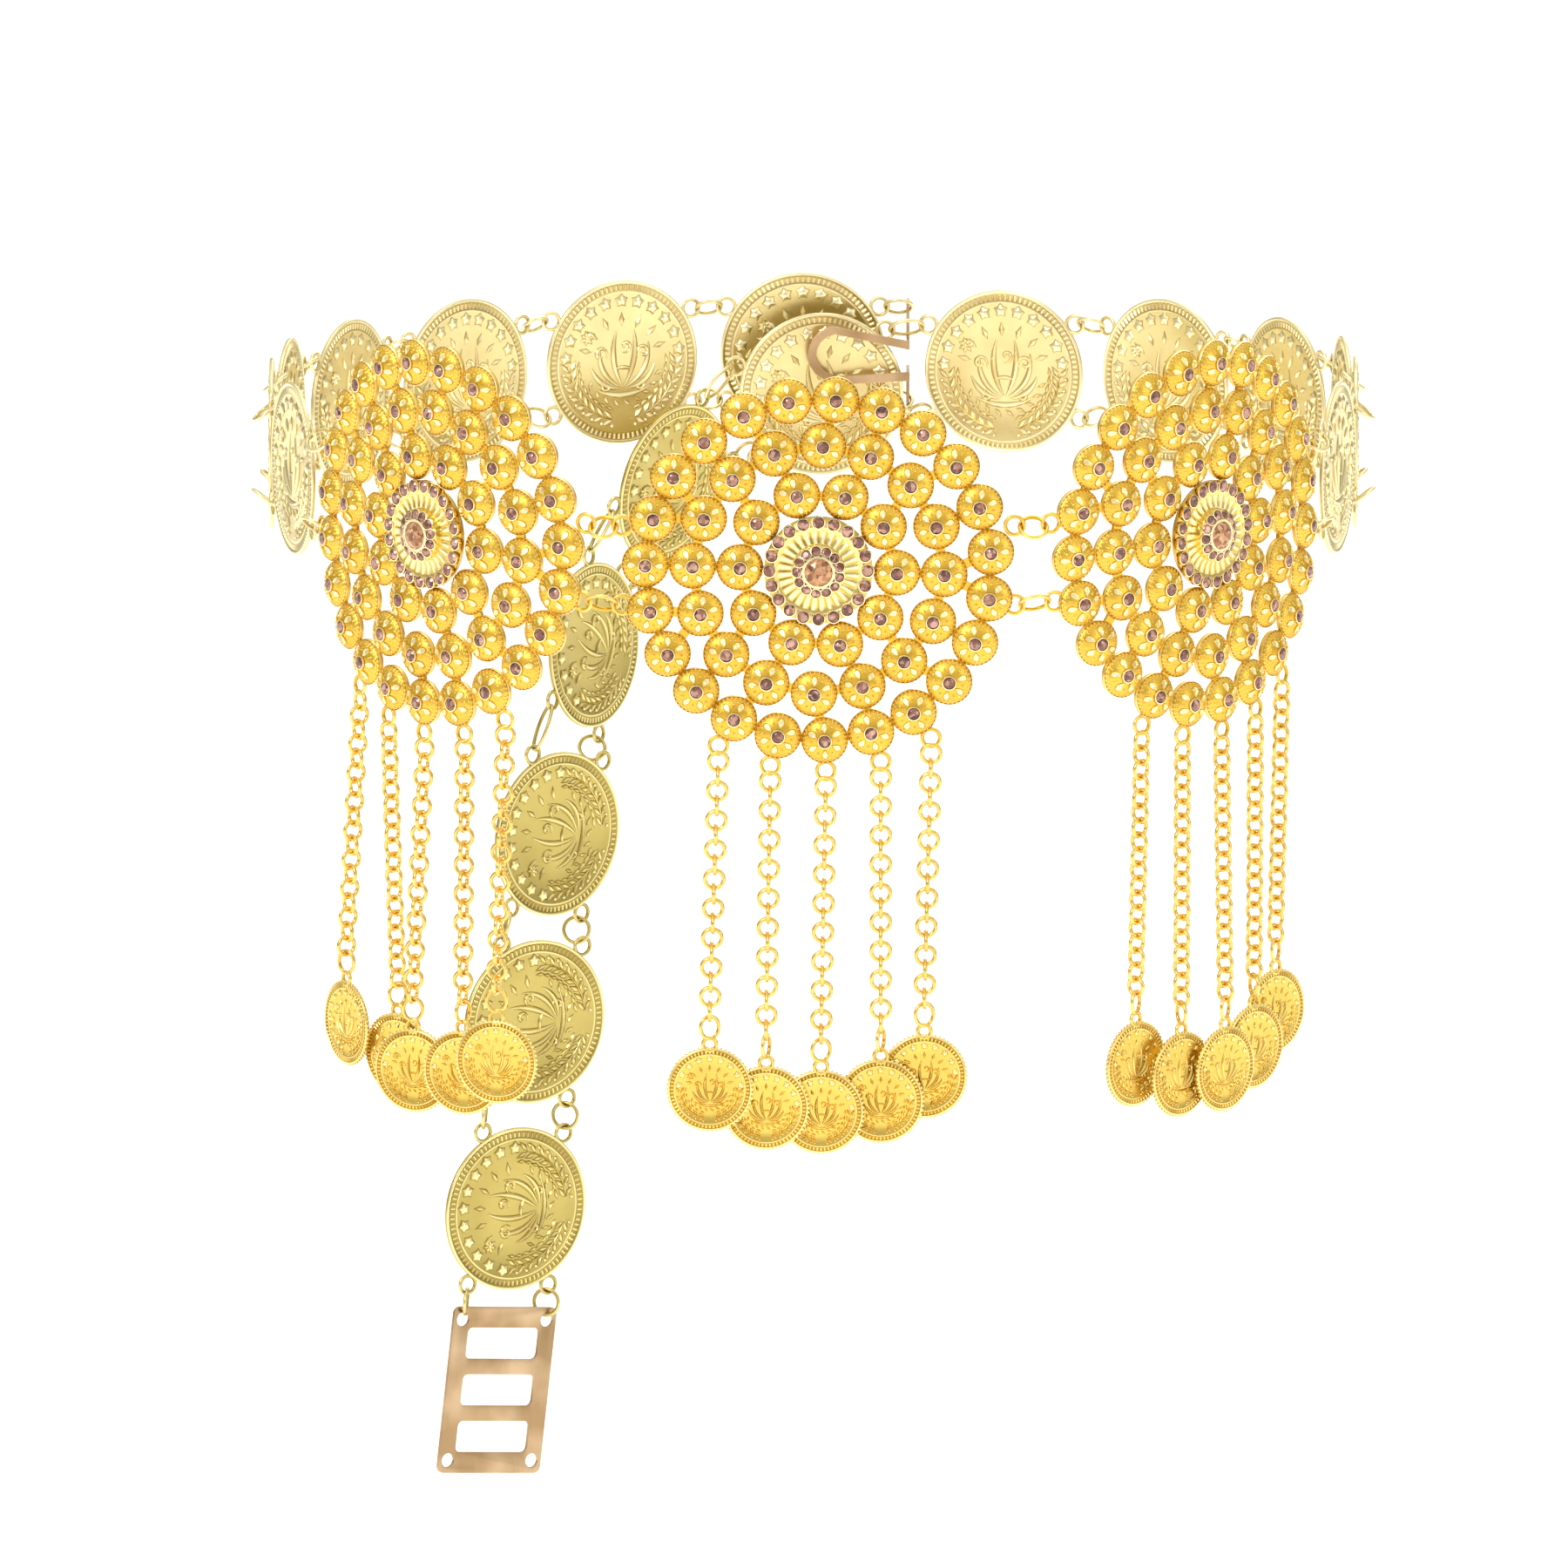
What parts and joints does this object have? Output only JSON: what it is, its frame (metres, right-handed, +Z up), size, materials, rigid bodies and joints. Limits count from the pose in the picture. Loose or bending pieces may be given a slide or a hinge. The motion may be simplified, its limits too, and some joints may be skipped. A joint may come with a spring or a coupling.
{
  "type": "waist chain",
  "caption": "Gold belt of linked coins closed in a ring by a hook, with three beaded rosettes at the front, pendant chains below them and a free tail of coins.",
  "frame": {"origin": "middle of the worn ring, level with the centre of the front rosette, where the wearer's waist holds the belt", "axes": "+Z up along the wearer, -Y towards the front rosette, +X to the right in the front view"},
  "size_m": [0.3031, 0.3479, 0.3595],
  "materials": {
    "gold": "polished yellow gold plating",
    "coins": "polished pale gold plating",
    "clasp": "satin rose gold plating",
    "medallions": "champagne stones in a gilt dish"
  },
  "bodies": {
    "root": {"chain_centre_1": "gold", "chain_centre_2": "gold", "chain_centre_3": "gold", "chain_centre_4": "gold", "chain_centre_5": "gold", "chain_left_1": "gold", "chain_left_2": "gold", "chain_left_3": "gold", "chain_left_4": "gold", "chain_left_5": "gold", "chain_right_1": "gold", "chain_right_2": "gold", "chain_right_3": "gold", "chain_right_4": "gold", "chain_right_5": "gold", "coin_left_1": "coins", "coin_left_2": "coins", "coin_left_3": "coins", "coin_left_4": "coins", "coin_left_5": "coins", "coin_left_6": "coins", "coin_left_7": "coins", "coin_right_1": "coins", "coin_right_2": "coins", "coin_right_3": "coins", "coin_right_4": "coins", "coin_right_5": "coins", "coin_right_6": "coins", "coin_right_7": "coins", "coin_tail_1": "coins", "coin_tail_2": "coins", "coin_tail_3": "coins", "coin_tail_4": "coins", "coin_tail_5": "coins", "hook": "clasp", "medallion_centre": "medallions", "medallion_left": "medallions", "medallion_right": "medallions", "pendant_centre_2": "gold", "pendant_centre_3": "gold", "pendant_centre_4": "gold", "pendant_centre_5": "gold", "pendant_left_2": "gold", "pendant_left_3": "gold", "pendant_left_4": "gold", "pendant_right_1": "gold", "pendant_right_2": "gold", "pendant_right_4": "gold", "pendant_right_5": "gold", "rosette_centre": "gold", "rosette_left": "gold", "rosette_right": "gold"},
    "ladder_plate": {"ladder_plate": "clasp"},
    "pendant_centre_1": {"pendant_centre_1": "gold"},
    "pendant_left_1": {"pendant_left_1": "gold"},
    "pendant_left_5": {"pendant_left_5": "gold"},
    "pendant_right_3": {"pendant_right_3": "gold"}
  },
  "joints": [
    {"name": "ladder_hinge", "type": "hinge", "parent": "root", "child": "ladder_plate", "pos_m": [-0.08672, 0.1005, -0.25914], "axis": [-0.8268, -0.5472, 0.1305], "range_deg": [-20, 20]},
    {"name": "pendant_centre_1_swing", "type": "hinge", "parent": "root", "child": "pendant_centre_1", "pos_m": [-0.02832, -0.1642, -0.12242], "axis": [-1, 0, 0], "range_deg": [0, 40]},
    {"name": "pendant_left_1_swing", "type": "hinge", "parent": "root", "child": "pendant_left_1", "pos_m": [-0.12446, -0.10701, -0.11667], "axis": [-0.5299, 0.848, 0], "range_deg": [0, 40]},
    {"name": "pendant_left_5_swing", "type": "hinge", "parent": "root", "child": "pendant_left_5", "pos_m": [-0.08422, -0.14777, -0.11851], "axis": [-0.9511, 0.309, 0], "range_deg": [0, 40]},
    {"name": "pendant_right_3_swing", "type": "hinge", "parent": "root", "child": "pendant_right_3", "pos_m": [0.10715, -0.12577, -0.12508], "axis": [-0.6947, -0.7193, 0], "range_deg": [0, 40]}
  ]
}
